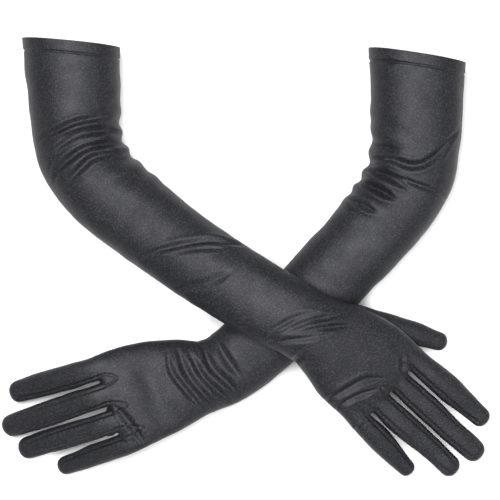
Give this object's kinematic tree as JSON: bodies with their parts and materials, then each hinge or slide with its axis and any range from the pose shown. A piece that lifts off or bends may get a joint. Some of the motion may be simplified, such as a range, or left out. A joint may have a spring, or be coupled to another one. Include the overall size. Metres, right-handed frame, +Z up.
{
  "type": "opera gloves",
  "caption": "Pair of long black stretch-satin opera gloves, laid crossed in the rounded shape of the arms that wore them, with folds at elbow and wrist.",
  "frame": {"origin": "on the table, on the flat underside of the left glove's forearm, below the place where the forearms cross", "axes": "+Z up from the table, +Y towards the arm openings, +X towards the right glove's fingertips"},
  "size_m": [0.3881, 0.3464, 0.084],
  "materials": {
    "satin": "black stretch satin, soft broad sheen with a fine sparkling grain",
    "seam_satin": "the same satin in narrow sewn strips, puckered along the stitches",
    "elastic": "matt black woven elastic tape"
  },
  "bodies": {
    "left_forearm": {"left_forearm": "satin", "left_side_seam": "seam_satin", "left_elbow": "satin", "left_wrist": "satin"},
    "left_sleeve": {"left_sleeve": "satin", "left_hem": "satin", "left_hem_elastic": "elastic"},
    "left_hand": {"left_hand": "satin", "left_thumb_base": "satin", "left_index_knuckle": "satin", "left_middle_knuckle": "satin", "left_ring_knuckle": "satin", "left_little_knuckle": "satin"},
    "left_thumb": {"left_thumb": "satin"},
    "left_index": {"left_index": "satin", "left_index_fourchette_inner": "seam_satin"},
    "left_middle": {"left_middle": "satin", "left_middle_fourchette_inner": "seam_satin", "left_middle_fourchette_outer": "seam_satin"},
    "left_ring": {"left_ring": "satin", "left_ring_fourchette_inner": "seam_satin", "left_ring_fourchette_outer": "seam_satin"},
    "left_little": {"left_little": "satin", "left_little_fourchette_outer": "seam_satin"},
    "right_forearm": {"right_forearm": "satin", "right_side_seam": "seam_satin", "right_elbow": "satin", "right_wrist": "satin"},
    "right_sleeve": {"right_sleeve": "satin", "right_hem": "satin", "right_hem_elastic": "elastic"},
    "right_hand": {"right_hand": "satin", "right_thumb_base": "satin", "right_index_knuckle": "satin", "right_middle_knuckle": "satin", "right_ring_knuckle": "satin", "right_little_knuckle": "satin"},
    "right_thumb": {"right_thumb": "satin"},
    "right_index": {"right_index": "satin", "right_index_fourchette_inner": "seam_satin"},
    "right_middle": {"right_middle": "satin", "right_middle_fourchette_inner": "seam_satin", "right_middle_fourchette_outer": "seam_satin"},
    "right_ring": {"right_ring": "satin", "right_ring_fourchette_inner": "seam_satin", "right_ring_fourchette_outer": "seam_satin"},
    "right_little": {"right_little": "satin", "right_little_fourchette_outer": "seam_satin"}
  },
  "joints": [
    {"name": "right_lift", "type": "slide", "parent": "left_forearm", "child": "right_forearm", "axis": [0, 0, 1], "range_m": [0, 0.15]},
    {"name": "left_elbow_bend", "type": "hinge", "parent": "left_forearm", "child": "left_sleeve", "pos_m": [0.109, 0.107, 0.03102], "axis": [0, 0, -1], "range_deg": [-44, 45], "deforming": ["left_elbow"]},
    {"name": "left_wrist_bend", "type": "hinge", "parent": "left_forearm", "child": "left_hand", "pos_m": [-0.04407, -0.04082, 0.01786], "axis": [0.1736, -0.9848, 0], "range_deg": [-45, 0], "deforming": ["left_wrist"]},
    {"name": "left_thumb_swing", "type": "hinge", "parent": "left_hand", "child": "left_thumb", "pos_m": [-0.09772, -0.02286, 0.00861], "axis": [-0.16, 0.0935, -0.9827], "range_deg": [0, 60], "deforming": ["left_thumb_base"]},
    {"name": "left_index_bend", "type": "hinge", "parent": "left_hand", "child": "left_index", "pos_m": [-0.14455, -0.03676, 0.04236], "axis": [0.313, -0.9491, -0.0358], "range_deg": [-50, 0], "deforming": ["left_index_knuckle"]},
    {"name": "left_middle_bend", "type": "hinge", "parent": "left_hand", "child": "left_middle", "pos_m": [-0.14085, -0.05862, 0.0424], "axis": [0.3369, -0.9406, -0.042], "range_deg": [-50, 0], "deforming": ["left_middle_knuckle"]},
    {"name": "left_ring_bend", "type": "hinge", "parent": "left_hand", "child": "left_ring", "pos_m": [-0.13032, -0.07794, 0.04065], "axis": [0.3369, -0.9406, -0.042], "range_deg": [-50, 0], "deforming": ["left_ring_knuckle"]},
    {"name": "left_little_bend", "type": "hinge", "parent": "left_hand", "child": "left_little", "pos_m": [-0.11479, -0.09393, 0.03753], "axis": [0.3842, -0.9217, -0.0544], "range_deg": [-50, 0], "deforming": ["left_little_knuckle"]},
    {"name": "right_elbow_bend", "type": "hinge", "parent": "right_forearm", "child": "right_sleeve", "pos_m": [-0.157, 0.117, 0.03102], "axis": [0, 0, 1], "range_deg": [-36, 53], "deforming": ["right_elbow"]},
    {"name": "right_wrist_bend", "type": "hinge", "parent": "right_forearm", "child": "right_hand", "pos_m": [0.01747, 0.00152, 0.0672], "axis": [0.5299, 0.848, 0], "range_deg": [-45, 0], "deforming": ["right_wrist"]},
    {"name": "right_thumb_swing", "type": "hinge", "parent": "right_hand", "child": "right_thumb", "pos_m": [0.06464, 0.00388, 0.03715], "axis": [0.3181, -0.1789, 0.931], "range_deg": [-8, 30], "deforming": ["right_thumb_base"]},
    {"name": "right_index_bend", "type": "hinge", "parent": "right_hand", "child": "right_index", "pos_m": [0.11073, -0.03147, 0.03675], "axis": [0.6436, 0.764, -0.0444], "range_deg": [-25, 60], "deforming": ["right_index_knuckle"]},
    {"name": "right_middle_bend", "type": "hinge", "parent": "right_hand", "child": "right_middle", "pos_m": [0.09911, -0.05034, 0.0367], "axis": [0.6623, 0.7474, -0.0522], "range_deg": [-25, 60], "deforming": ["right_middle_knuckle"]},
    {"name": "right_ring_bend", "type": "hinge", "parent": "right_hand", "child": "right_ring", "pos_m": [0.08221, -0.06438, 0.03888], "axis": [0.6623, 0.7474, -0.0522], "range_deg": [-25, 60], "deforming": ["right_ring_knuckle"]},
    {"name": "right_little_bend", "type": "hinge", "parent": "right_hand", "child": "right_little", "pos_m": [0.062, -0.0735, 0.04276], "axis": [0.6983, 0.7126, -0.0676], "range_deg": [-25, 60], "deforming": ["right_little_knuckle"]}
  ]
}
